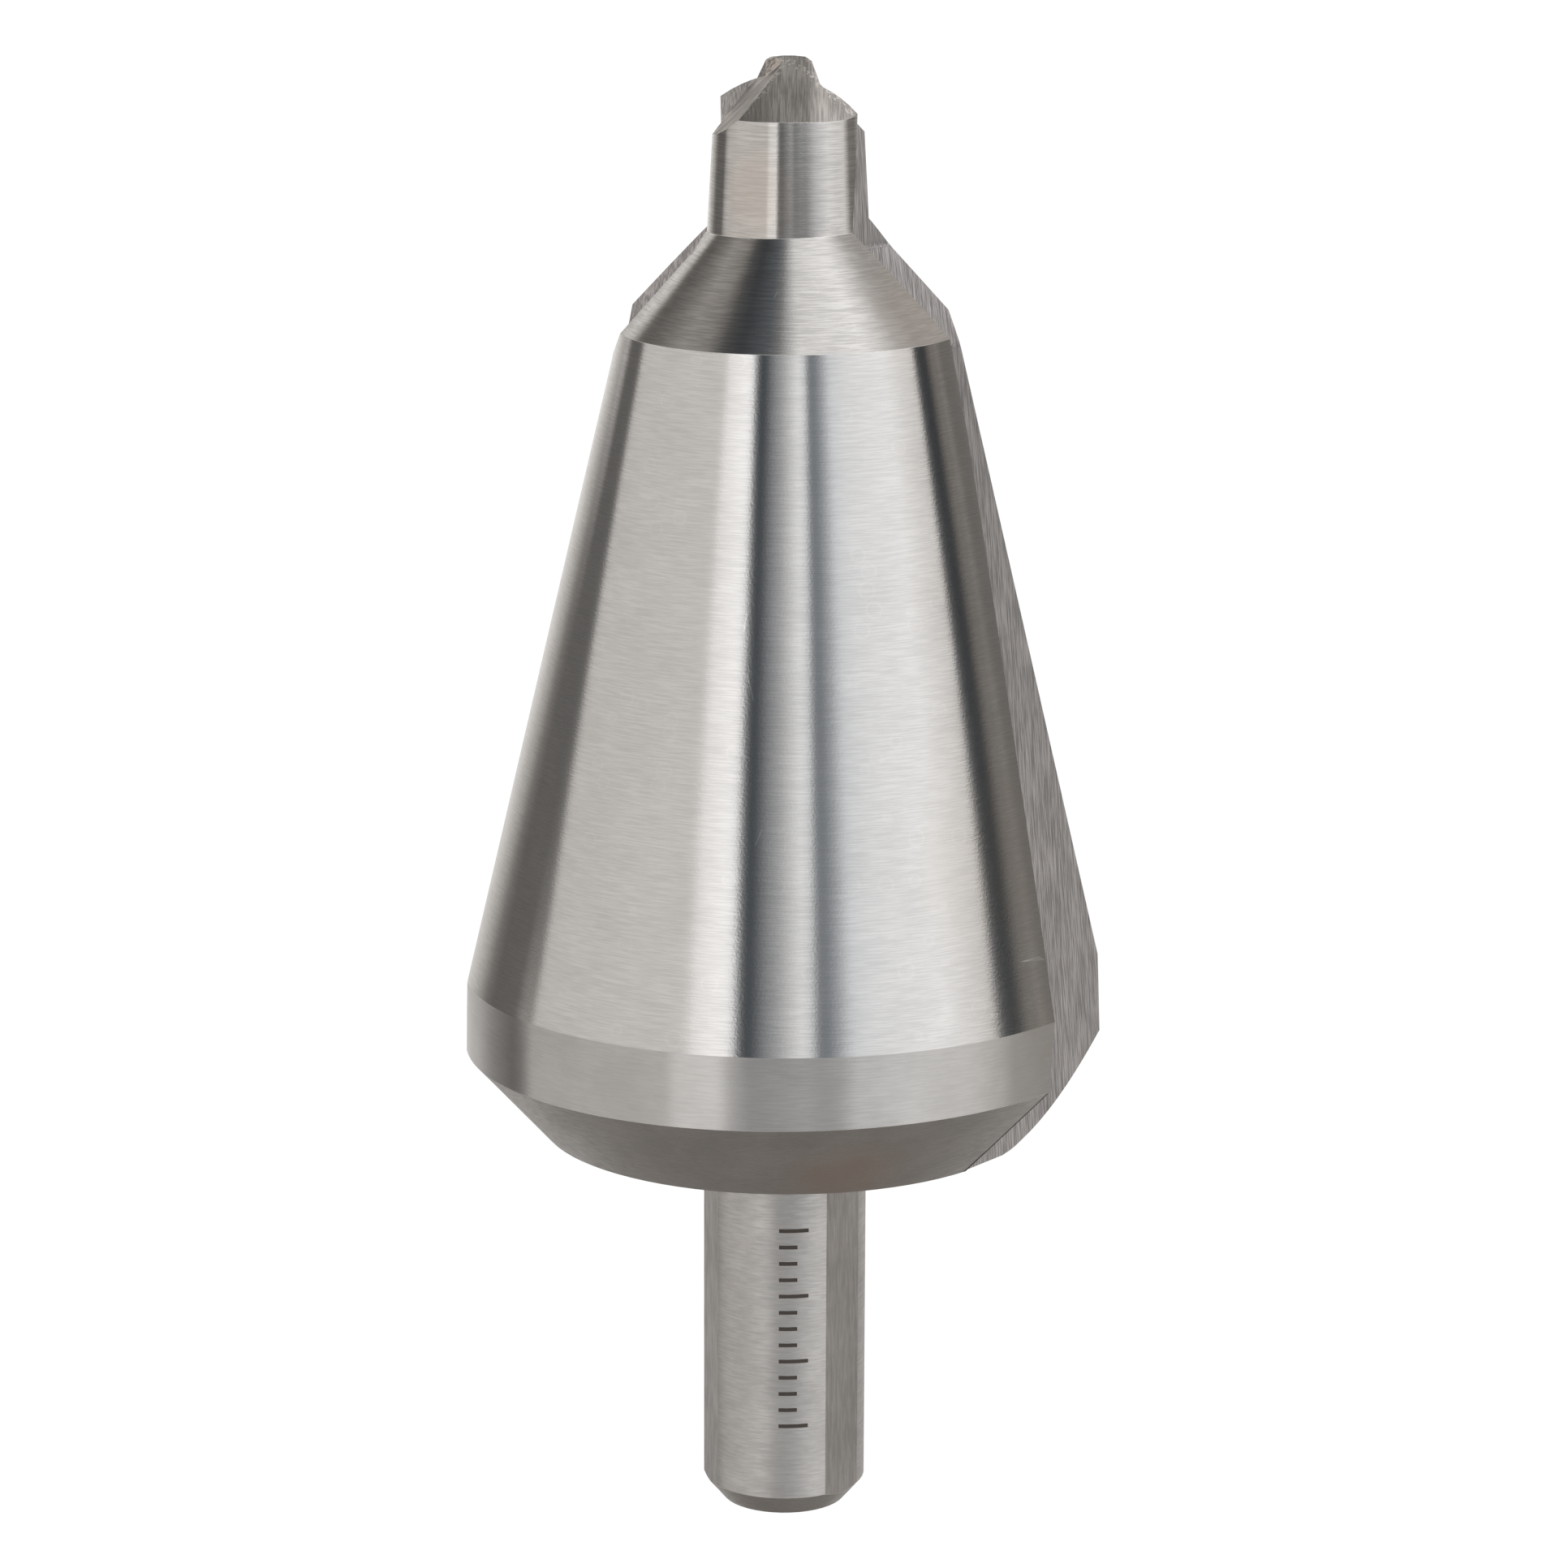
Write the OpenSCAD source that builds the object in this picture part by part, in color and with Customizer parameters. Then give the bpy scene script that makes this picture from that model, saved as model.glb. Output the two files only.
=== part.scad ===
// Cone drill bit, one solid piece of steel, standing on the end of its shank.
// Millimetres, z up from the end of the shank, front of the bit towards -y.

/* [Shank] */
// Shank diameter
shank_d = 10; // [9.8:0.1:10.2]
// Shank length up to the back of the head
shank_l = 24.25; // [22:0.25:26]
// Height of the bevel round the end of the shank
end_bevel = 1.4; // [0.8:0.1:1.8]
// Diameter of the end of the shank inside its bevel
end_d = 7.62; // [7:0.02:8.2]
// Depth of each of the three driving flats
flat_depth = 0.22; // [0.15:0.01:0.22]
// Direction of the first flat, degrees from the front towards +x
flat_turn = 47.8; // [40:0.1:56]

/* [Head] */
// Largest diameter, over the cutting edges
head_d = 40; // [39.4:0.1:40.4]
// Diameter of the back of the head
back_d = 29.8; // [29:0.1:30.6]
// Height of the bevel between the back and the full diameter
back_bevel_h = 5.6; // [5:0.1:6.2]
// Height at which the full diameter ends and the cone begins
band_top = 34.06; // [33:0.02:35]
// Height at which the cone ends and the shoulder begins
cone_top = 73.5; // [72.5:0.1:74.5]
// Diameter at the top of the cone
cone_top_d = 20.72; // [20:0.02:21.4]
// Height at which the shoulder meets the neck
shoulder_top = 79.53; // [79:0.01:80]
// How much further the cone runs up on the far land
far_rise = 0.8; // [0:0.1:1]

/* [Neck] */
// Neck diameter at the shoulder
neck_d = 9.7; // [9.5:0.1:9.9]
// Neck diameter at the corners of the point
neck_top_d = 9.02; // [8.9:0.02:9.2]
// Height of the corners of the point
neck_top = 86.23; // [85.8:0.01:86.6]

/* [Relief] */
// How far the lands are ground off centre
relief = 0.23; // [0:0.01:0.35]
// Direction in which the front land is off centre, degrees from the front
relief_turn = 100; // [90:1:110]
// Lean of the relief, so that it is less at the small end of the cone
relief_lean = 0.16; // [0:0.01:0.25]

/* [Flutes] */
// Cutting face of the cone, y on the axis at height 0
cone_face_y = -6.77; // [-7.1:0.01:-6.5]
// Cutting face of the cone, slope across
cone_face_x = -0.587; // [-0.61:0.001:-0.56]
// Cutting face of the cone, slope along the axis
cone_face_z = 0.118; // [0.114:0.001:0.122]
// Back wall of the cone flute, y on the axis at height 0
cone_wall_y = -30.17; // [-30.5:0.01:-29.8]
// Back wall of the cone flute, slope across
cone_wall_x = 1.3; // [1.28:0.01:1.32]
// Back wall of the cone flute, slope along the axis
cone_wall_z = 0.25; // [0.246:0.001:0.254]
// Cutting face of the neck, y on the axis at height 0
neck_face_y = -15.57; // [-15.7:0.01:-15.4]
// Cutting face of the neck, slope across
neck_face_x = -0.013; // [-0.05:0.001:0.03]
// Cutting face of the neck, slope along the axis
neck_face_z = 0.158; // [0.157:0.001:0.16]
// Back wall of the neck flute, y on the axis at height 0
neck_wall_y = -13.6; // [-13.8:0.01:-13.4]
// Back wall of the neck flute, slope along the axis
neck_wall_z = 0.1; // [0.098:0.001:0.102]
// Run-out of the neck flute over the shoulder, y on the axis at height 0
runout_y = -88.42; // [-88.6:0.01:-88.2]
// Run-out of the neck flute, slope along the axis
runout_z = 1.056; // [1.054:0.001:1.058]

/* [Point] */
// Height at which the two flank faces meet
point_h = 89.7; // [89.5:0.01:90]
// Fall of each flank face, degrees
flank_fall = 37.4; // [36:0.1:39]
// Radius to which the front flank face is ground
flank_r = 6.7; // [6.4:0.1:7.4]
// Radius to which the far flank face is ground
far_flank_r = 9.2; // [8.6:0.1:9.8]
// Height of the thinning floor on the axis
thin_h = 89.76; // [89.6:0.01:89.9]
// Fall of the thinning floor to the side
thin_x = 1.0; // [0.95:0.01:1.05]
// Fall of the thinning floor to the front
thin_y = 0.166; // [0.1:0.001:0.2]
// Where the thinning wall crosses the middle
thin_wall_y = -0.5; // [-0.6:0.01:-0.4]
// Slope across of the thinning wall
thin_wall_x = -0.5; // [-0.6:0.01:-0.4]
// Where the side wall of the thinning crosses the middle
thin_side_y = -3.6; // [-3.8:0.01:-3.4]
// Slope across of the side wall of the thinning
thin_side_x = -2.8; // [-3:0.01:-2.6]

/* [Hidden] */
$fn = 180;
big = 400;
shank_r = shank_d / 2;
head_r = head_d / 2;
back_r = back_d / 2;
bevel_slope = back_bevel_h / (head_r - back_r);
// radii of the eccentric turning that give the sizes above at the cutting edges
turned_r = head_r - 0.7 * relief;
top_relief = relief - (cone_top - band_top) * sin(relief_lean);
turned_top_r = cone_top_d / 2 - 0.8 * top_relief;
shoulder_slope = (turned_top_r - neck_d / 2) / (shoulder_top - cone_top);
cone_slope = (turned_r - turned_top_r) / (cone_top - band_top);
// how far pieces run into each other
over = 2;
shoulder_in = 0.6;
seam_in = 0.4;
neck_slope = (neck_d - neck_top_d) / 2 / (neck_top - shoulder_top);
tip_z = point_h + 2;
// half the length of the ground surface that shapes a flank face
flank_run = 30;

// solid on the +y side of the plane y = a + b x + c z
module beyond(a, b, c) {
    n = norm([b, 1, c]);
    translate([0, a, 0])
    rotate([0, acos(-c / n), atan2(1, -b)])
    translate([-big / 2, -big / 2, 0])
    cube([big, big, big]);
}

// solid on the -y side of the plane y = a + b x + c z
module before(a, b, c) {
    n = norm([b, 1, c]);
    translate([0, a, 0])
    rotate([0, acos(-c / n), atan2(1, -b)])
    translate([-big / 2, -big / 2, -big])
    cube([big, big, big]);
}

// straight round shank with a bevelled end and three ground flats
module shank() {
    rotate([0, 0, flat_turn - 90])
    difference() {
        rotate_extrude()
        polygon([
            [0, 0],
            [end_d / 2, 0],
            [shank_r, end_bevel],
            [shank_r, shank_l + 1],
            [0, shank_l + 1]
        ]);
        for (k = [0, 1, 2]) {
            rotate([0, 0, 120 * k])
            translate([shank_r - flat_depth, -shank_r, -1])
            cube([shank_r, shank_d, shank_l + 1]);
        }
    }
}

// full diameter, cone and shoulder, turned off centre for relief
module turned_land(rise) {
    lift = rise * (1 - cone_slope / shoulder_slope);
    rotate([0, 0, relief_turn - 90])
    translate([relief, 0, band_top])
    rotate([0, -relief_lean, 0])
    translate([0, 0, -band_top])
    rotate_extrude()
    polygon([
        [0, shank_l - over],
        [turned_r, shank_l - over],
        [turned_r, band_top],
        [turned_top_r - rise * cone_slope, cone_top + rise],
        [neck_d / 2 - shoulder_in * shoulder_slope, shoulder_top + lift + shoulder_in],
        [0, shoulder_top + lift + shoulder_in]
    ]);
}

// room inside the bevelled back of the head
module back_turning() {
    rotate_extrude()
    polygon([
        [0, shank_l],
        [back_r, shank_l],
        [head_r + 2, shank_l + (head_r + 2 - back_r) * bevel_slope],
        [head_r + 2, tip_z],
        [0, tip_z]
    ]);
}

// one of the two lands, half of the head
module land(rise) {
    intersection() {
        turned_land(rise);
        back_turning();
        rotate([0, 0, 72 - 90])
        translate([-big / 2, seam_in - big, 0])
        cube([big, big, big]);
    }
}

// room under one curved flank face of the point
module flank(radius) {
    translate([0, 0, point_h])
    rotate([flank_fall, 0, 0])
    translate([0, 0, -radius]) {
        rotate([90, 0, 0])
        cylinder(h = 2 * flank_run, r = radius, center = true);
        translate([-radius, -flank_run, -flank_run])
        cube([2 * radius, 2 * flank_run, flank_run]);
    }
}

// neck with the two flank faces of the point
module neck() {
    intersection() {
        rotate_extrude()
        polygon([
            [0, cone_top],
            [neck_d / 2 + (shoulder_top - cone_top) * neck_slope, cone_top],
            [neck_d / 2 - (tip_z - shoulder_top) * neck_slope, tip_z],
            [0, tip_z]
        ]);
        flank(flank_r);
        rotate([0, 0, 180])
        flank(far_flank_r);
    }
}

// straight flute of the cone, running out at the back of the head
module cone_flute() {
    intersection() {
        beyond(cone_face_y, cone_face_x, cone_face_z);
        before(cone_wall_y, cone_wall_x, cone_wall_z);
    }
}

// flute of the neck, rising to the surface over the shoulder
module neck_flute() {
    intersection() {
        beyond(neck_face_y, neck_face_x, neck_face_z);
        before(neck_wall_y, cone_wall_x, neck_wall_z);
        before(runout_y, cone_wall_x, runout_z);
    }
}

// thinning ground beside the chisel edge, on the left of the front land
module thinning() {
    tilt = norm([thin_x, thin_y, 1]);
    intersection() {
        translate([0, 0, thin_h])
        rotate([0, acos(1 / tilt), atan2(-thin_y, -thin_x)])
        translate([-big / 2, -big / 2, 0])
        cube([big, big, big]);
        union() {
            before(thin_wall_y, thin_wall_x, 0);
            before(thin_side_y, thin_side_x, 0);
        }
        before(-neck_face_y, neck_face_x, -neck_face_z);
        translate([-big, -big / 2, 0])
        cube([big, big, big]);
    }
}

module bit() {
    color("#a8a6a4")
    difference() {
        union() {
            shank();
            neck();
            land(0);
            rotate([0, 0, 180])
            land(far_rise);
        }
        for (s = [0, 180]) {
            rotate([0, 0, s])
            union() {
                cone_flute();
                neck_flute();
                thinning();
            }
        }
    }
}

bit();
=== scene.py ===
import math

import bmesh
import bpy
from mathutils import Matrix, Vector


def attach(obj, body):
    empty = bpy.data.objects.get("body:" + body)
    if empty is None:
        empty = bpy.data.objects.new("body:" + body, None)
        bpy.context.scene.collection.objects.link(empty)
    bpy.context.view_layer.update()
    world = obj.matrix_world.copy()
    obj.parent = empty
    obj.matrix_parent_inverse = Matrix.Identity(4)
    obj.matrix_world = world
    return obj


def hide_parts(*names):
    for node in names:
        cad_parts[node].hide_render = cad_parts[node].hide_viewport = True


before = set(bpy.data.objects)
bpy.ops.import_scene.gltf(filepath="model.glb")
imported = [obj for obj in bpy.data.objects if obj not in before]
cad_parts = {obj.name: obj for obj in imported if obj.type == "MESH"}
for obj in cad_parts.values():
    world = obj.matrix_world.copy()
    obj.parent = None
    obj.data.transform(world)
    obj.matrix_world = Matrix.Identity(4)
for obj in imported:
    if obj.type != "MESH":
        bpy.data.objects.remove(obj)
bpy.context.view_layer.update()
mm = 0.001

# camera, in millimetres from the middle of the shank's end and in degrees
cameraSet = {
    "distance": 320.0, "height": 122.41, "aside": -0.14,
    "pitch": 13.5, "roll": 0.195,
    "lens": 124.36, "sensor": 36.0,
    "near": 10, "far": 10000,
}


def makeCamera(c):
    data = bpy.data.cameras.new("camera")
    data.lens = c["lens"]
    data.sensor_width = c["sensor"]
    data.clip_start = c["near"] * mm
    data.clip_end = c["far"] * mm
    camera = bpy.data.objects.new("camera", data)
    bpy.context.collection.objects.link(camera)
    place = Matrix.Translation(Vector((c["aside"], -c["distance"], c["height"])) * mm)
    tip = Matrix.Rotation(math.radians(90 - c["pitch"]), 4, "X")
    turn = Matrix.Rotation(math.radians(c["roll"]), 4, "Z")
    camera.matrix_world = place @ tip @ turn
    bpy.context.scene.camera = camera


makeCamera(cameraSet)
print("camera made")


def makePiece(bm, name):
    mesh = bpy.data.meshes.new(name)
    bm.to_mesh(mesh)
    bm.free()
    piece = bpy.data.objects.new(name, mesh)
    bpy.context.collection.objects.link(piece)
    return piece


# small helpers for node trees
def addNode(tree, kind, **settings):
    node = tree.nodes.new("ShaderNode" + kind)
    for key, value in settings.items():
        setattr(node, key, value)
    return node


def feed(tree, socket, value):
    if isinstance(value, bpy.types.NodeSocket):
        tree.links.new(value, socket)
    else:
        socket.default_value = value


def doMath(tree, operation, a, b=0.0, c=0.0):
    node = addNode(tree, "Math", operation=operation)
    for socket, value in zip(node.inputs, (a, b, c)):
        feed(tree, socket, value)
    return node.outputs[0]


def doVector(tree, operation, a, b=(0, 0, 0), scale=None):
    node = addNode(tree, "VectorMath", operation=operation)
    feed(tree, node.inputs[0], a)
    feed(tree, node.inputs[1], b)
    if scale is not None:
        feed(tree, node.inputs["Scale"], scale)
    return node.outputs["Value" if operation in ("DISTANCE", "DOT_PRODUCT") else "Vector"]


def split(tree, vector):
    node = addNode(tree, "SeparateXYZ")
    feed(tree, node.inputs[0], vector)
    return node.outputs


def noise(tree, vector, scale, detail, coarse=0.6):
    node = addNode(tree, "TexNoise")
    feed(tree, node.inputs["Vector"], vector)
    node.inputs["Scale"].default_value = scale
    node.inputs["Detail"].default_value = detail
    node.inputs["Roughness"].default_value = coarse
    return node.outputs[0]


def mixColour(tree, share, a, b):
    node = addNode(tree, "Mix", data_type="RGBA")
    feed(tree, node.inputs[0], share)
    feed(tree, node.inputs[6], a)
    feed(tree, node.inputs[7], b)
    return node.outputs[2]


def mapRange(tree, value, low, high, toLow, toHigh, curve="LINEAR"):
    node = addNode(tree, "MapRange", interpolation_type=curve)
    for socket, v in zip(node.inputs, (value, low, high, toLow, toHigh)):
        feed(tree, socket, v)
    return node.outputs[0]


def smoothStep(tree, value, low, high, toLow=0.0, toHigh=1.0):
    return mapRange(tree, value, low, high, toLow, toHigh, "SMOOTHSTEP")


def fromScreen(tone, warmth):
    # linear colour of an sRGB level from 0 to 255, warmth is its red less its blue
    levels = [(tone + warmth * side) / 255 for side in (0.5, 0, -0.5)]
    return [v / 12.92 if v <= 0.04045 else ((v + 0.055) / 1.055) ** 2.4 for v in levels]


# the studio that the metal reflects: four rings of light and dark cards, one over the other
# each stop is degrees round the bit from the camera (positive to its right), screen level, warmth
shankTones = [
    (-160, 169, 6), (-144, 155, 6), (-130, 123, 6), (-115, 93, 5), (-109, 107, 6), (-103, 154, 8),
    (-44, 164, 7), (-40, 189, 6), (-25, 191, 6), (-20, 148, 4), (-14, 135, 3), (0, 147, 3), (6, 155, 3),
    (12, 149, 2), (18, 155, 3), (24, 182, 4), (46, 191, 5), (72, 176, 7), (80, 160, 7), (86, 134, 7),
    (110, 132, 8), (140, 157, 6),
]
neckTones = [
    (-160, 199, 6), (-148, 172, 8), (-141, 152, 8), (-132, 106, 7), (-126, 88, 5), (-110, 91, 6),
    (-104, 145, 9), (-98, 166, 11), (-80, 174, 12), (-32, 176, 12), (-28, 204, 8), (-18, 206, 8),
    (-14.5, 109, 4), (-9, 99, 4), (2, 120, 3), (14, 116, 3), (25, 115, 2), (31, 140, 3), (40, 172, 3),
    (48, 187, 4), (60, 205, 5), (88, 196, 8), (95, 157, 10), (101, 109, 9), (114, 102, 8), (120, 118, 8),
    (140, 187, 6),
]
coneTones = [
    (-162, 165, 6), (-150, 89, 5), (-122, 86, 4), (-117.5, 177, 9), (-35.5, 186, 8), (-32, 219, 6),
    (-22, 237, 5), (-18.8, 228, 3), (-16.6, 86, -5), (-14.6, 58, -6), (-12, 71, -7), (-8, 123, -2),
    (-4, 152, 0), (0, 186, 2), (4, 214, 2), (7, 200, 0), (9.5, 114, -6), (12.5, 116, -7), (16, 151, -4),
    (20.5, 200, -2), (28, 212, 1), (56, 223, 4), (68, 207, 6), (83, 194, 8), (84.5, 55, -4),
    (99.5, 47, -4), (102, 96, 8), (105, 82, 5), (108, 117, 10), (112, 95, 7), (117, 119, 10), (126, 97, 7),
]
skyTones = [
    (-160, 194, 8), (-148.5, 186, 8), (-143, 170, 9), (-137, 92, 8), (-131, 85, 6), (-120, 104, 8),
    (-107, 133, 9), (-92, 119, 9), (-80, 69, 2), (-66, 53, -4), (-34, 82, -5), (-18, 111, 2),
    (0, 169, 5), (14, 197, 5), (45, 207, 5), (84, 219, 5), (96, 200, 6), (108, 161, 8), (120, 145, 10),
    (150, 144, 11),
]
studio = {
    "underTone": (99, 10),
    # degrees above level over which each ring takes over from the one below it
    "shankRise": (-52, -38), "neckRise": (-14, -10), "coneRise": (0, 1.5), "skyRise": (22, 38),
    # behind the bit the sky ring hangs lower: past an angle in radians, by degrees for each radian
    "behindFrom": 1.9, "behindDrop": 25,
    # the cone's ring of cards narrows towards level
    "spread": 0.028, "spreadLevel": 8, "spreadLow": 2, "spreadHigh": 24,
    # tone of the steel that the screen levels allow for, light of the cards and of the plain white
    "metalTone": 0.66, "cardLight": 2.0, "plainLight": 0.85,
}


def cardRing(tree, place, tones, gain):
    node = addNode(tree, "ValToRGB")
    stops = node.color_ramp.elements
    for i, (angle, tone, warmth) in enumerate(tones):
        position = (angle + 180) / 360
        last = i == len(tones) - 1
        stop = stops[0] if i == 0 else stops[-1] if last else stops.new(position)
        stop.position = position
        stop.color = (*[v * gain for v in fromScreen(tone, warmth)], 1)
    feed(tree, node.inputs[0], place)
    return node.outputs[0]


def makeStudio(s):
    world = bpy.data.worlds.new("studio")
    world.use_nodes = True
    tree = world.node_tree
    tree.nodes.clear()
    x, y, z = split(tree, addNode(tree, "TexCoord").outputs["Generated"])
    angle = doMath(tree, "ARCTAN2", x, doMath(tree, "MULTIPLY", y, -1))
    lift = doMath(tree, "DEGREES", doMath(tree, "ARCSINE", z))
    level = doMath(tree, "MINIMUM", doMath(tree, "MAXIMUM", lift, s["spreadLow"]), s["spreadHigh"])
    wide = doMath(tree, "MULTIPLY_ADD", level, s["spread"], 1 - s["spread"] * s["spreadLevel"])
    spread = doMath(tree, "DIVIDE", angle, wide)
    # places on a ring run from 0 to 1, with the camera at the middle
    turn, spread = [doMath(tree, "MULTIPLY_ADD", way, 0.5 / math.pi, 0.5) for way in (angle, spread)]
    past = doMath(tree, "SUBTRACT", doMath(tree, "ABSOLUTE", angle), s["behindFrom"])
    skyLift = doMath(tree, "MULTIPLY_ADD", doMath(tree, "MAXIMUM", past, 0), s["behindDrop"], lift)
    gain = 1 / (s["metalTone"] * s["cardLight"])
    tone = (*[v * gain for v in fromScreen(*s["underTone"])], 1)
    for name, place, height, tones in (("shankRise", turn, lift, shankTones),
                                       ("neckRise", turn, lift, neckTones),
                                       ("coneRise", spread, lift, coneTones),
                                       ("skyRise", turn, skyLift, skyTones)):
        share = smoothStep(tree, height, *s[name])
        tone = mixColour(tree, share, tone, cardRing(tree, place, tones, gain))
    cards = addNode(tree, "Background")
    feed(tree, cards.inputs[0], tone)
    cards.inputs[1].default_value = s["cardLight"]
    # camera rays and rays through glass see plain white, and only glossy rays see the cards
    plain = addNode(tree, "Background")
    plain.inputs[0].default_value = (1, 1, 1, 1)
    path = addNode(tree, "LightPath").outputs
    seen = doMath(tree, "MAXIMUM", path["Is Camera Ray"], path["Is Transmission Ray"])
    feed(tree, plain.inputs[1], smoothStep(tree, seen, 0, 1, s["plainLight"], 1.0))
    pick = addNode(tree, "MixShader")
    feed(tree, pick.inputs[0], path["Is Glossy Ray"])
    feed(tree, pick.inputs[1], plain.outputs[0])
    feed(tree, pick.inputs[2], cards.outputs[0])
    out = addNode(tree, "OutputWorld")
    feed(tree, out.inputs[0], pick.outputs[0])
    bpy.context.scene.world = world


makeStudio(studio)
print("studio made")

# planes ground into the bit, y = a + b x + c z in millimetres, each with its twin half a turn round
planes = {
    "coneFace": (-6.77, -0.587, 0.118, "flute"),
    "coneWall": (-30.17, 1.3, 0.25, "flute"),
    "neckFace": (-15.57, -0.013, 0.158, "neckFlute"),
    "neckWall": (-13.6, 1.3, 0.1, "neckFlute"),
    "runOut": (-88.42, 1.3, 1.056, "runOut"),
    "thinWall": (-0.5, -0.5, 0, "gash"),
    "thinSide": (-3.6, -2.8, 0, "gash"),
}
# floor of the thinning beside the point, z = height + fallX x + fallY y
thinFloor = {"height": 89.76, "fallX": 1.0, "fallY": 0.166}

# finishes of the steel: grain is lines per millimetre in x, y and z, lean turns the grain in degrees,
# streak is how much the grain darkens and lightens, fleck is the finer roughening over it, cloud the
# broad unevenness; across lays the tangent of the brushing level instead of upright; a face that was
# turned has a rise, which is how far its normal looks up on the neck, on the cone and on the shoulder
ground = dict(tint=(0.62, 0.61, 0.62), rough=0.36, aniso=0.6, across=True, grain=(14, 14, 0.45),
              streak=0.42, bump=0.4, fleck=0.15, cloud=0.06)
finishes = {
    "turned": dict(tint=(0.66, 0.66, 0.66), rough=0.1, aniso=0.5, grain=(0.6, 0.6, 16), streak=0.07,
                   bump=0.04, fleck=0.08, cloud=0.03, offCentre=True, rise=(0.051, 0.236, 0.668)),
    "band": dict(tint=(0.66, 0.66, 0.66), rough=0.14, aniso=0.7, grain=(0.6, 0.6, 14), streak=0.04,
                 bump=0.08, fleck=0.07, cloud=0.05, offCentre=True, rise=(0, 0, 0)),
    "shank": dict(tint=(0.65, 0.645, 0.64), rough=0.42, aniso=0.3, grain=(0.9, 0.9, 10), streak=0.07,
                  bump=0.1, fleck=0.16, cloud=0.07, offCentre=False, rise=(0, 0, 0)),
    "bevel": dict(tint=(0.66, 0.655, 0.65), rough=0.46, aniso=0, grain=(1.2, 1.2, 9), streak=0.07,
                  bump=0.1, fleck=0.15, cloud=0.06),
    "flat": dict(tint=(0.52, 0.51, 0.5), rough=0.34, aniso=0.3, grain=(6, 6, 0.5), lean=(0, 2, 0),
                 streak=0.12, bump=0.15, fleck=0.15, cloud=0.08),
    "flute": dict(ground, lean=(9, 4, 0)),
    "neckFlute": dict(ground, lean=(2, 3, 0)),
    "runOut": dict(ground, lean=(43, 6, 0)),
    "flank": dict(tint=(0.6, 0.59, 0.58), rough=0.34, aniso=0.6, across=True, grain=(14, 0.5, 0.5),
                  streak=0.28, bump=0.5, fleck=0.2, cloud=0.1),
    "gash": dict(tint=(0.57, 0.54, 0.52), rough=0.34, aniso=0.5, across=True, grain=(0.5, 9, 9),
                 lean=(0, 45, 0), streak=0.45, bump=0.5, fleck=0.15, cloud=0.15),
    # the edge finish on the bevelled edges is lighter than the steel beside it: a painted highlight along
    # the edges
    "edge": dict(tint=(0.86, 0.85, 0.84), rough=0.4, aniso=0, grain=(3, 3, 3), streak=0.1,
                 bump=0.1, fleck=0.2, cloud=0.05),
}
twins = {"flute": "farFlute", "neckFlute": "farNeckFlute", "runOut": "farRunOut", "gash": "farGash"}
for near, far in twins.items():
    finishes[far] = dict(finishes[near], lean=[-v for v in finishes[near]["lean"]])
# these faces are painted a tone unlike their twins half a turn round: the near run-out and the near thinning
# darker, as painted shade, and the far neck flute lighter, as a painted highlight
finishes["runOut"].update(tint=(0.52, 0.51, 0.52))
finishes["gash"].update(tint=(0.42, 0.395, 0.375))
finishes["farNeckFlute"].update(tint=(0.76, 0.745, 0.74), streak=0.3)

# what all finishes share: noise detail and scale for each millimetre, and the noise levels that are used
texture = {
    "lineDetail": 3, "lineLevels": (0.36, 0.66),
    "fleckScale": 7, "fleckDetail": 2,
    "cloudScale": 0.3, "cloudDetail": 5, "cloudLevels": (0.35, 0.65),
    "roughShare": 0.1, "bumpHeight": 0.02,
    # the rings of the turning stand out more on the shoulder and neck, above this height
    "ringsFrom": (73.4, 73.8), "ringsTimes": 2.1,
}

# faint stains: middle and reach in millimetres, colour that the steel turns to and how strongly
stains = [
    ((7.6, -5.6, 75.2), 3.6, (0.74, 0.68, 0.64), 0.35),
    ((3.5, -15.5, 26.5), 3.6, (0.7, 0.56, 0.5), 0.5),
    ((14, -12, 33), 4.0, (0.6, 0.58, 0.53), 0.4),
    ((-1.5, -4.6, 82), 2.6, (0.68, 0.62, 0.58), 0.4),
    ((12, -11.5, 44), 6.0, (0.68, 0.65, 0.61), 0.35),
]
stainEdge = {"ragged": 1.2, "outer": 1.9, "inner": 0.9}


def addStains(tree, place, cloud, tint):
    for middle, reach, colour, amount in stains:
        away = doVector(tree, "DISTANCE", place, middle)
        ragged = doMath(tree, "MULTIPLY_ADD", cloud, reach * stainEdge["ragged"], away)
        mask = smoothStep(tree, ragged, reach * stainEdge["outer"], reach * stainEdge["inner"], 0, amount)
        tint = mixColour(tree, mask, tint, (*colour, 1))
    return tint


# dried water spots are thin pale rings
waterSpots = {"scale": 0.42, "radius": 0.2, "width": 0.05, "share": 0.1, "tint": (0.9, 0.9, 0.9, 1)}


def addWaterSpots(tree, place, tint):
    s = waterSpots
    spot = addNode(tree, "TexVoronoi")
    feed(tree, spot.inputs["Vector"], place)
    spot.inputs["Scale"].default_value = s["scale"]
    ring = doMath(tree, "ABSOLUTE", doMath(tree, "SUBTRACT", spot.outputs["Distance"], s["radius"]))
    return mixColour(tree, smoothStep(tree, ring, s["width"], 0, 0, s["share"]), tint, s["tint"])


# hairline scratches on the front: middle x and z, turn in degrees from upright, length
scratches = [(-2.1, 54.8, -14, 1.9), (-1.6, 46.4, 24, 1.2), (-2.4, 58.5, 9, 1.4), (-0.7, 76.6, 30, 0.5)]
scratchSet = {"width": 0.035, "outer": 1.6, "inner": 0.4, "share": 0.7, "frontFrom": (-1, -2),
              "tint": (0.98, 0.98, 0.98, 1)}


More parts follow.
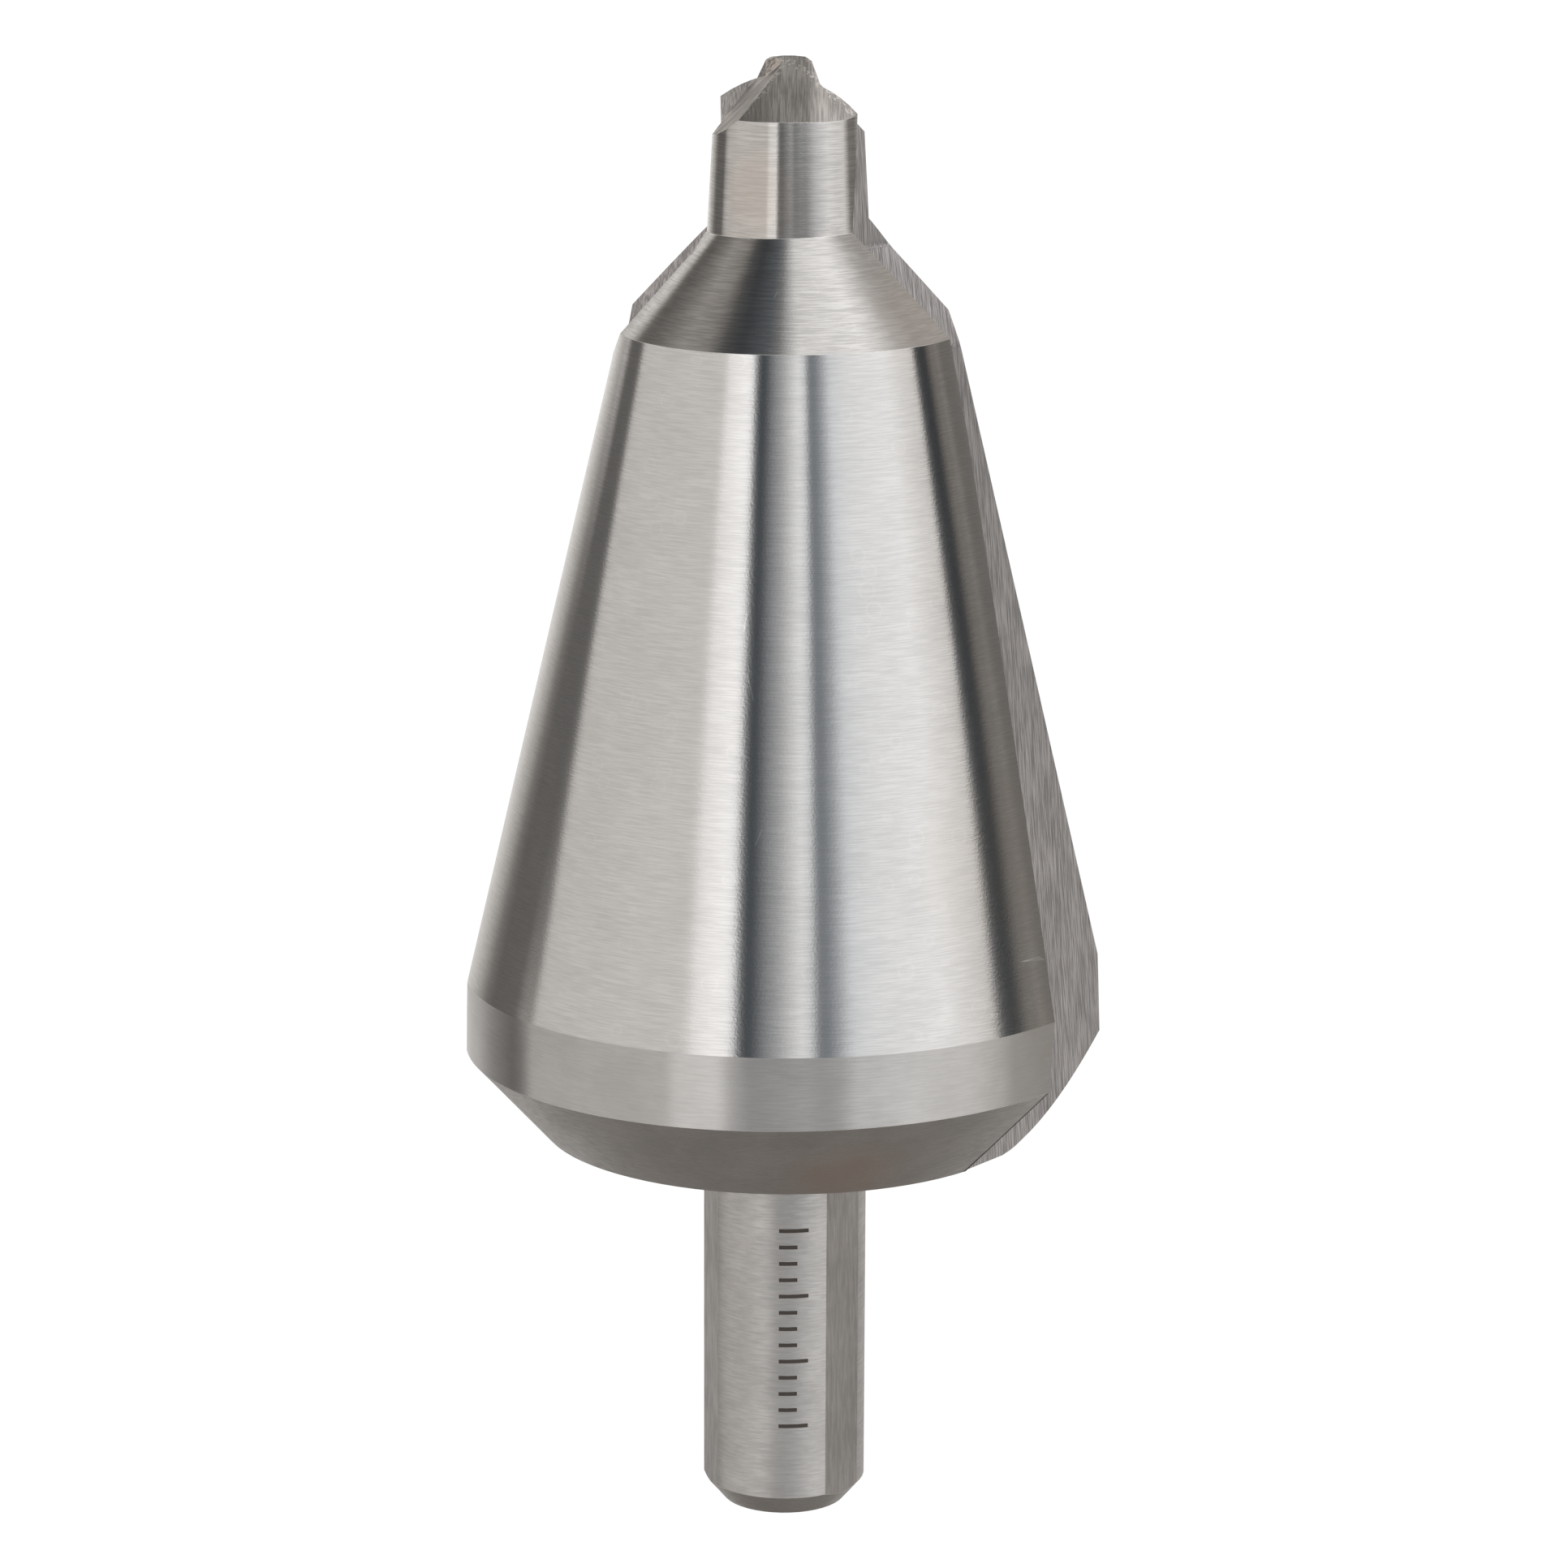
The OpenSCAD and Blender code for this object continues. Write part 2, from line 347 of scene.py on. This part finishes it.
def addScratches(tree, place, tint):
    s = scratchSet
    front = smoothStep(tree, split(tree, place)[1], *s["frontFrom"])
    for x, z, turn, length in scratches:
        across, up = math.cos(math.radians(turn)), math.sin(math.radians(turn))
        side = doVector(tree, "DOT_PRODUCT", place, (across, 0, -up))
        along = doVector(tree, "DOT_PRODUCT", place, (up, 0, across))
        near = doMath(tree, "ABSOLUTE", doMath(tree, "SUBTRACT", side, x * across - z * up))
        far = doMath(tree, "ABSOLUTE", doMath(tree, "SUBTRACT", along, x * up + z * across))
        thin = smoothStep(tree, near, s["width"] * s["outer"], s["width"] * s["inner"])
        # it fades out towards its ends
        mask = doMath(tree, "MULTIPLY", thin, smoothStep(tree, far, length / 2, length / 3, 0, s["share"]))
        tint = mixColour(tree, doMath(tree, "MULTIPLY", mask, front), tint, s["tint"])
    return tint


def fromPlane(tree, place, name, turn):
    # distance in millimetres from a ground plane, turn -1 for its twin
    a, b, c = planes[name][:3]
    length = math.sqrt(1 + b * b + c * c)
    off = doVector(tree, "DOT_PRODUCT", place, (b * turn / length, -turn / length, c / length))
    return doMath(tree, "ABSOLUTE", doMath(tree, "ADD", off, a / length))


# painted shade: a dark line painted on the back bevel along the crease where each cutting face runs out over
# it
backCreaseShade = {"outer": 0.3, "inner": 0.18, "share": 0.9, "tint": (0.04, 0.036, 0.033, 1)}


def paintBackCreaseShade(tree, place, tint):
    s = backCreaseShade
    for turn in (1, -1):
        near = fromPlane(tree, place, "coneFace", turn)
        mask = smoothStep(tree, near, s["outer"], s["inner"], 0, s["share"])
        tint = mixColour(tree, mask, tint, s["tint"])
    return tint


# bright ragged burr along the edges of the thinning
pointBurr = {"outer": 0.34, "inner": 0.08, "scale": 4.5, "levels": (0.55, 0.61), "share": 0.8,
             "tint": (0.98, 0.97, 0.95, 1)}


def addPointBurr(tree, place, tint):
    s, f = pointBurr, thinFloor
    speck = smoothStep(tree, noise(tree, place, s["scale"], 1), *s["levels"], 0, s["share"])
    length = math.sqrt(1 + f["fallX"] ** 2 + f["fallY"] ** 2)
    for turn in (1, -1):
        up = Vector((-f["fallX"] * turn, -f["fallY"] * turn, 1)) / length
        height = doMath(tree, "SUBTRACT", doVector(tree, "DOT_PRODUCT", place, up), f["height"] / length)
        wall = fromPlane(tree, place, "thinWall", turn)
        near = doMath(tree, "MINIMUM", doMath(tree, "ABSOLUTE", height), wall)
        mask = doMath(tree, "MULTIPLY", smoothStep(tree, near, s["outer"], s["inner"]), speck)
        tint = mixColour(tree, mask, tint, s["tint"])
    return tint


# painted highlight: the trailing part of each flank face is painted brighter than the leading part, as the
# curved flank reflects more light there
flankPaintedHighlight = {"from": 0.9, "to": 2.0, "leading": 0.66, "trailing": 1.25}


def paintTrailHighlight(tree, place, tint):
    s = flankPaintedHighlight
    x, y = split(tree, place)[:2]
    side = doMath(tree, "MULTIPLY", x, doMath(tree, "SIGN", doMath(tree, "MULTIPLY", y, -1)))
    light = smoothStep(tree, side, s["from"], s["to"], s["leading"], s["trailing"])
    return doVector(tree, "SCALE", tint, scale=light)


marks = {
    "turned": (addWaterSpots, addScratches),
    # painted crease shade on the back bevel
    "bevel": (paintBackCreaseShade,),
    # the point's burr, and a painted highlight on the flank's trailing side
    "flank": (addPointBurr, paintTrailHighlight),
}

# the lands are turned off centre: by how much at the foot and the top of the cone, in which direction in
# degrees from +x, and which way the middle of the front land faces, in degrees from the front
relief = {"low": 0.23, "top": 0.12, "lowZ": 34.06, "topZ": 73.5, "endZ": 79.5, "side": 10, "front": -18}
# facets that look up by more than this are on the cone or on the shoulder
facetRise = {"cone": 0.14, "shoulder": 0.45}


def fromAxis(tree, place):
    # way from the axis of the land that a place is on
    s = relief
    side, front = math.radians(s["side"]), math.radians(s["front"])
    z = split(tree, place)[2]
    off = mapRange(tree, z, s["lowZ"], s["topZ"], s["low"], s["top"])
    land = doVector(tree, "DOT_PRODUCT", place, (math.sin(front), -math.cos(front), 0))
    land = doMath(tree, "MULTIPLY", doMath(tree, "SIGN", land), doMath(tree, "LESS_THAN", z, s["endZ"]))
    off = doMath(tree, "MULTIPLY", off, land)
    shift = doVector(tree, "SCALE", (math.cos(side), math.sin(side), 0), scale=off)
    return doVector(tree, "SUBTRACT", place, shift)


def turnedNormal(tree, place, offCentre, rise):
    # the normal of a turned face from its place on it, evener than the facets of the mesh
    away = fromAxis(tree, place) if offCentre else place
    out = doVector(tree, "NORMALIZE", doVector(tree, "MULTIPLY", away, (1, 1, 0)))
    facet = split(tree, addNode(tree, "NewGeometry").outputs["True Normal"])[2]
    onCone = doMath(tree, "GREATER_THAN", facet, facetRise["cone"])
    onShoulder = doMath(tree, "GREATER_THAN", facet, facetRise["shoulder"])
    up = doMath(tree, "MULTIPLY_ADD", onCone, rise[1] - rise[0], rise[0])
    up = doMath(tree, "MULTIPLY_ADD", onShoulder, rise[2] - rise[1], up)
    level = doMath(tree, "SQRT", doMath(tree, "SUBTRACT", 1, doMath(tree, "MULTIPLY", up, up)))
    upright = doVector(tree, "SCALE", (0, 0, 1), scale=up)
    return doVector(tree, "ADD", doVector(tree, "SCALE", out, scale=level), upright)


def grainTangent(tree, across):
    if across:
        normal = addNode(tree, "NewGeometry").outputs["Normal"]
        return doVector(tree, "CROSS_PRODUCT", normal, (0, 0, 1))
    up = addNode(tree, "CombineXYZ")
    up.inputs[2].default_value = 1
    return up.outputs[0]


def makeSteel(name, s):
    t = texture
    mat = bpy.data.materials.new(name + "Steel")
    mat.use_nodes = True
    tree = mat.node_tree
    skin = tree.nodes["Principled BSDF"].inputs
    place = doVector(tree, "SCALE", addNode(tree, "TexCoord").outputs["Object"], scale=1 / mm)

    # grain is a fine noise drawn out along the grinding direction
    lean = addNode(tree, "Mapping")
    feed(tree, lean.inputs["Vector"], place)
    lean.inputs["Rotation"].default_value = [math.radians(v) for v in s.get("lean", (0, 0, 0))]
    line = noise(tree, doVector(tree, "MULTIPLY", lean.outputs[0], s["grain"]), 1, t["lineDetail"])
    fleck = noise(tree, place, t["fleckScale"], t["fleckDetail"])
    cloud = noise(tree, place, t["cloudScale"], t["cloudDetail"])

    shade = smoothStep(tree, line, *t["lineLevels"], 1 - s["streak"], 1 + s["streak"])
    if name == "turned":
        times = smoothStep(tree, split(tree, place)[2], *t["ringsFrom"], 1, t["ringsTimes"])
        shade = doMath(tree, "MULTIPLY_ADD", doMath(tree, "SUBTRACT", shade, 1), times, 1)
    haze = smoothStep(tree, cloud, *t["cloudLevels"], 1 - s["cloud"], 1 + s["cloud"] / 2)
    tint = doVector(tree, "SCALE", s["tint"], scale=doMath(tree, "MULTIPLY", shade, haze))
    tint = addStains(tree, place, cloud, tint)
    for addMark in marks.get(name, ()):
        tint = addMark(tree, place, tint)
    feed(tree, skin["Base Color"], tint)

    dull, bright = s["rough"] * (1 + t["roughShare"]), s["rough"] * (1 - t["roughShare"])
    feed(tree, skin["Roughness"], smoothStep(tree, line, *t["lineLevels"], dull, bright))
    skin["Metallic"].default_value = 1
    skin["Anisotropic"].default_value = s["aniso"]
    if s["aniso"] > 0:
        feed(tree, skin["Tangent"], grainTangent(tree, s.get("across")))

    height = doMath(tree, "MULTIPLY_ADD", fleck, s["fleck"], doMath(tree, "MULTIPLY", line, s["bump"]))
    bump = addNode(tree, "Bump")
    bump.inputs["Strength"].default_value = 1
    bump.inputs["Distance"].default_value = t["bumpHeight"] * mm
    feed(tree, bump.inputs["Height"], height)
    if "rise" in s:
        feed(tree, bump.inputs["Normal"], turnedNormal(tree, place, s["offCentre"], s["rise"]))
    feed(tree, skin["Normal"], bump.outputs[0])
    return mat


# how the faces of the solid are told apart: places and distances in millimetres, the rest are parts of
# the faces' normals
faceSigns = {
    "shankTop": 24.2, "shankReach": 5.2, "flatFrom": 4.78, "flatReach": 4.8, "flatClose": 0.004,
    "endDown": -0.1, "backDown": -0.3, "levelDown": -0.99,
    "pointLow": 85.5, "pointUp": 0.2, "floorSide": 0.6, "floorFront": 0.2,
    "bandReach": 15, "bandOut": 0.9, "bandUp": 0.05, "turnedOut": 0.5,
    "planeClose": 0.02, "planeFacing": 0.9995,
}
fluteNames = {name for near, far in twins.items() if near != "gash" for name in (near, far)}
runOutNames = {"runOut", twins["runOut"]}
body = {
    "merge": 0.001, "flatten": 0.3, "sharp": 8,
    "edgeWidth": 0.05, "edgeSegments": 2, "edgeAngle": 26,
    "bendWidth": 1.5, "bendSegments": 5, "bendMost": 40,
}


def groundName(middle, normal):
    # finish of a face that lies in one of the ground planes or in its twin
    s = faceSigns
    for a, b, c, name in planes.values():
        wall = Vector((b, -1, c)).normalized()
        for turn in (1, -1):
            away = turn * middle.y - (a + b * turn * middle.x + c * middle.z)
            facing = abs(turn * (normal.x * wall.x + normal.y * wall.y) + normal.z * wall.z)
            if abs(away) < s["planeClose"] and facing > s["planeFacing"]:
                return name if turn > 0 else twins[name]
    return None


def shankName(middle, normal):
    s = faceSigns
    if normal.z < s["endDown"]:
        return "bevel"
    off = normal.x * middle.x + normal.y * middle.y - s["flatFrom"]
    isFlat = abs(off) < s["flatClose"] and math.hypot(middle.x, middle.y) < s["flatReach"]
    return "flat" if isFlat else "shank"


def nameFinish(middle, normal):
    s = faceSigns
    reach = math.hypot(middle.x, middle.y)
    out = (normal.x * middle.x + normal.y * middle.y) / max(reach, mm)
    if middle.z < s["shankTop"] and reach < s["shankReach"]:
        return shankName(middle, normal)
    if normal.z < s["levelDown"]:
        return "bevel"
    name = groundName(middle, normal)
    if name:
        return name
    if normal.z < s["backDown"]:
        return "bevel"
    if middle.z > s["pointLow"] and normal.z > s["pointUp"]:
        if abs(normal.x) > s["floorSide"] and abs(normal.y) < s["floorFront"]:
            return "gash" if normal.x < 0 else "farGash"
        return "flank"
    if out > s["bandOut"] and abs(normal.z) < s["bandUp"] and reach > s["bandReach"]:
        return "band"
    return "turned" if out > s["turnedOut"] else "flute"


def finishesAt(edge, names):
    return {names[face.material_index] for face in edge.link_faces}


def roundBends(bm, names, s):
    # each run-out goes over into its flutes in a soft bend
    bends = []
    for edge in bm.edges:
        here = finishesAt(edge, names)
        meets = here & runOutNames and here - runOutNames and here <= fluteNames
        if meets and edge.calc_face_angle(0) < math.radians(s["bendMost"]):
            bends.append(edge)
    bmesh.ops.bevel(bm, geom=bends, offset=s["bendWidth"] * mm, offset_type="OFFSET",
                    segments=s["bendSegments"], profile=0.5, affect="EDGES", clamp_overlap=True, material=-1)
    print("bends", len(bends))


def markEdges(bm, names, s):
    # faces shade smooth, and edges between different finishes stay crisp
    for face in bm.faces:
        face.smooth = True
    for edge in bm.edges:
        here = finishesAt(edge, names)
        alike = len({finishes[name]["tint"] for name in here}) == 1 or here <= fluteNames
        edge.smooth = edge.calc_face_angle(0) < math.radians(s["sharp"]) and alike


def makeBody(s):
    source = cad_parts["bit"]
    bm = bmesh.new()
    bm.from_mesh(source.data)
    bmesh.ops.transform(bm, matrix=source.matrix_world, verts=bm.verts)
    bmesh.ops.remove_doubles(bm, verts=bm.verts, dist=s["merge"] * mm)
    bmesh.ops.dissolve_limit(bm, angle_limit=math.radians(s["flatten"]), verts=bm.verts, edges=bm.edges)
    bmesh.ops.recalc_face_normals(bm, faces=bm.faces)
    names = list(finishes)
    for face in bm.faces:
        face.material_index = names.index(nameFinish(face.calc_center_median() / mm, face.normal))
    roundBends(bm, names, s)
    markEdges(bm, names, s)
    piece = makePiece(bm, "drillBody")
    for name in names:
        piece.data.materials.append(makeSteel(name, finishes[name]))
    bevel = piece.modifiers.new("edges", "BEVEL")
    bevel.width = s["edgeWidth"] * mm
    bevel.segments = s["edgeSegments"]
    bevel.limit_method = "ANGLE"
    bevel.angle_limit = math.radians(s["edgeAngle"])
    # the bevelled edges take the lighter edge finish, a painted highlight
    bevel.material = names.index("edge")
    bevel.harden_normals = True
    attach(piece, "root")
    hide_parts("bit")


makeBody(body)
print("body made")

# short plain tick marks etched down the shank: heights in millimetres, widths in degrees round it
ticks = {
    "count": 13, "every": 4, "low": 6.0, "step": 1.05, "height": 0.24,
    "long": 21, "short": 13, "turn": 6.5, "steps": 12,
    "inside": 4.96, "outside": 5.004,
    "tint": (0.1, 0.085, 0.075, 1), "metal": 0.6, "rough": 0.6,
}


def makeTicks(s):
    start = Matrix.Rotation(math.radians(s["turn"] - s["long"] / 2), 3, "Z")
    bm = bmesh.new()
    for i in range(s["count"]):
        low = s["low"] + i * s["step"]
        top = low + s["height"]
        wide = s["long"] if i % s["every"] == 0 else s["short"]
        ends = [(s["inside"], low), (s["outside"], low), (s["outside"], top), (s["inside"], top)]
        verts = [bm.verts.new(Vector((0, -reach, z)) * mm) for reach, z in ends]
        face = bm.faces.new(verts)
        bmesh.ops.rotate(bm, verts=verts, cent=(0, 0, 0), matrix=start)
        bmesh.ops.spin(bm, geom=[face, *face.edges, *verts], cent=(0, 0, 0), axis=(0, 0, 1),
                       angle=math.radians(wide), steps=s["steps"])
    bmesh.ops.recalc_face_normals(bm, faces=bm.faces)
    piece = makePiece(bm, "etchedTicks")
    mat = bpy.data.materials.new("etchedSteel")
    mat.use_nodes = True
    skin = mat.node_tree.nodes["Principled BSDF"].inputs
    skin["Base Color"].default_value = s["tint"]
    skin["Metallic"].default_value = s["metal"]
    skin["Roughness"].default_value = s["rough"]
    piece.data.materials.append(mat)
    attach(piece, "root")


makeTicks(ticks)
print("ticks made")

# white paper under the bit, half its width in metres; a little of it takes the shadow
paperSet = {"half": 1.5, "tint": (0.9, 0.9, 0.9, 1), "glow": 1.05, "glowShare": 0.94}


def makeFloor(s):
    bm = bmesh.new()
    bmesh.ops.create_grid(bm, x_segments=1, y_segments=1, size=s["half"])
    floor = makePiece(bm, "floor")
    mat = bpy.data.materials.new("floorPaper")
    mat.use_nodes = True
    tree = mat.node_tree
    tree.nodes.clear()
    paper = addNode(tree, "BsdfDiffuse")
    paper.inputs[0].default_value = s["tint"]
    white = addNode(tree, "Emission")
    white.inputs[1].default_value = s["glow"]
    path = addNode(tree, "LightPath").outputs
    pick = addNode(tree, "MixShader")
    feed(tree, pick.inputs[0], doMath(tree, "MULTIPLY", path["Is Camera Ray"], s["glowShare"]))
    feed(tree, pick.inputs[1], paper.outputs[0])
    feed(tree, pick.inputs[2], white.outputs[0])
    out = addNode(tree, "OutputMaterial")
    feed(tree, out.inputs[0], pick.outputs[0])
    floor.data.materials.append(mat)
    floor.visible_glossy = False


makeFloor(paperSet)
print("floor made")

bpy.context.scene.view_settings.view_transform = "Standard"
